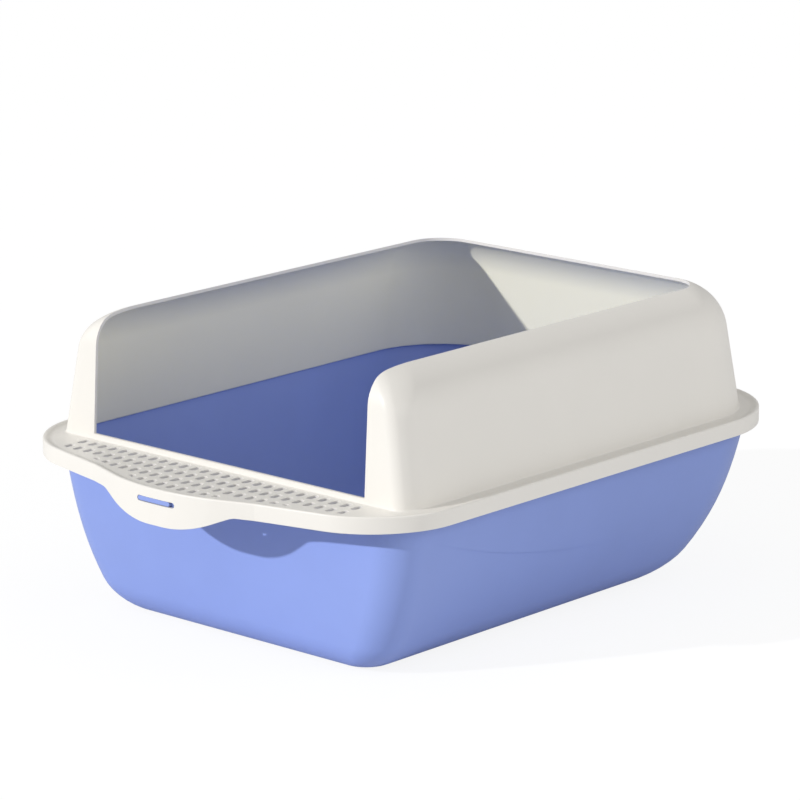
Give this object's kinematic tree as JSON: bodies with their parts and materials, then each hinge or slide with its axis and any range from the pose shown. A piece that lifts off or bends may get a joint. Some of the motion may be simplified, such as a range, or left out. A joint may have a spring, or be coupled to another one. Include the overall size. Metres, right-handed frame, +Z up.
{
  "type": "litter box",
  "caption": "Semi-enclosed litter box: a deep rounded pan with a tall guard frame that snaps over its rim and carries a perforated entry step.",
  "frame": {"origin": "on the floor, at the middle of the overall length and width", "axes": "+Z up; -Y is the entry side with the perforated step; +X is to the right of someone who faces the entry"},
  "size_m": [0.4, 0.541, 0.2388],
  "materials": {
    "blue_plastic": "satin",
    "white_plastic": "satin"
  },
  "bodies": {
    "pan": {"base_pan": "blue_plastic", "front_catch": "blue_plastic", "rear_catch": "blue_plastic"},
    "guard": {"guard_frame": "white_plastic"}
  },
  "joints": [
    {"name": "guard_lift", "type": "slide", "parent": "pan", "child": "guard", "axis": [0, 0, 1], "range_m": [0, 0.08], "deforming": ["front_catch", "rear_catch"]}
  ]
}
